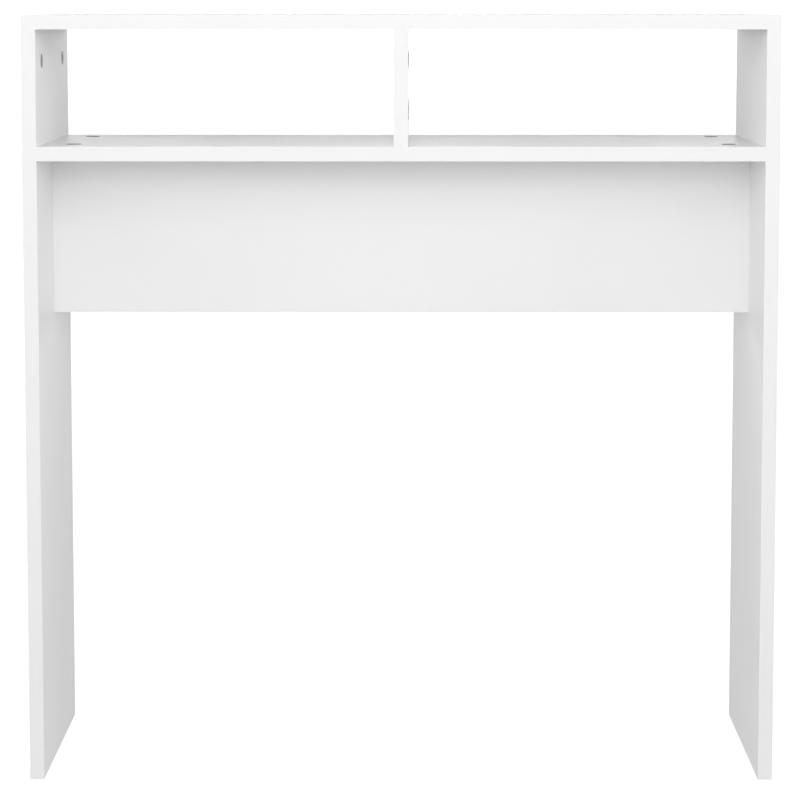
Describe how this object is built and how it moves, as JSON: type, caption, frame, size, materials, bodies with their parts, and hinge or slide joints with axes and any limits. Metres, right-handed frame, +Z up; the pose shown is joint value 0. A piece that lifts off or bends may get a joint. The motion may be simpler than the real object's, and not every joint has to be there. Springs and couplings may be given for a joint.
{
  "type": "console table",
  "caption": "Narrow console table with slab sides, open bays split by a divider under the top, and a set-back apron rail under the lower shelf.",
  "frame": {"origin": "centre of the footprint, on the floor", "axes": "+Z up, +X to the right as seen from the front, -Y towards the user"},
  "size_m": [0.78, 0.3, 0.8],
  "materials": {
    "melamine_board": "white melamine facing on particle board, satin with a very fine grain",
    "edge_band": "white ABS edge band, satin",
    "zinc_cam": "die-cast zinc alloy, dull bright",
    "bolt_steel": "zinc-plated steel",
    "beech_dowel": "raw beech, planed"
  },
  "bodies": {
    "root": {"apron_rail": "melamine_board", "apron_rail_cam_locks": "zinc_cam", "apron_rail_lower_band": "edge_band", "apron_to_left_side_bolts": "bolt_steel", "apron_to_left_side_dowel": "beech_dowel", "apron_to_right_side_bolts": "bolt_steel", "apron_to_right_side_dowel": "beech_dowel", "apron_to_shelf_dowels": "beech_dowel", "centre_divider": "melamine_board", "centre_divider_cam_locks": "zinc_cam", "centre_divider_front_band": "edge_band", "centre_divider_rear_band": "edge_band", "left_side_cam_locks": "zinc_cam", "left_side_front_band": "edge_band", "left_side_panel": "melamine_board", "left_side_rear_band": "edge_band", "lower_shelf": "melamine_board", "lower_shelf_cam_locks": "zinc_cam", "lower_shelf_front_band": "edge_band", "lower_shelf_rear_band": "edge_band", "right_side_front_band": "edge_band", "right_side_panel": "melamine_board", "right_side_rear_band": "edge_band", "right_side_upper_end_band": "edge_band", "shelf_to_divider_bolts": "bolt_steel", "shelf_to_divider_dowels": "beech_dowel", "shelf_to_left_side_bolts": "bolt_steel", "shelf_to_left_side_dowels": "beech_dowel", "shelf_to_right_side_bolts": "bolt_steel", "shelf_to_right_side_dowels": "beech_dowel", "table_top": "melamine_board", "table_top_cam_locks": "zinc_cam", "table_top_front_band": "edge_band", "table_top_left_end_band": "edge_band", "table_top_rear_band": "edge_band", "top_to_divider_bolts": "bolt_steel", "top_to_divider_dowels": "beech_dowel", "top_to_left_side_bolts": "bolt_steel", "top_to_left_side_dowels": "beech_dowel", "top_to_right_side_bolts": "bolt_steel", "top_to_right_side_dowels": "beech_dowel"}
  },
  "joints": []
}
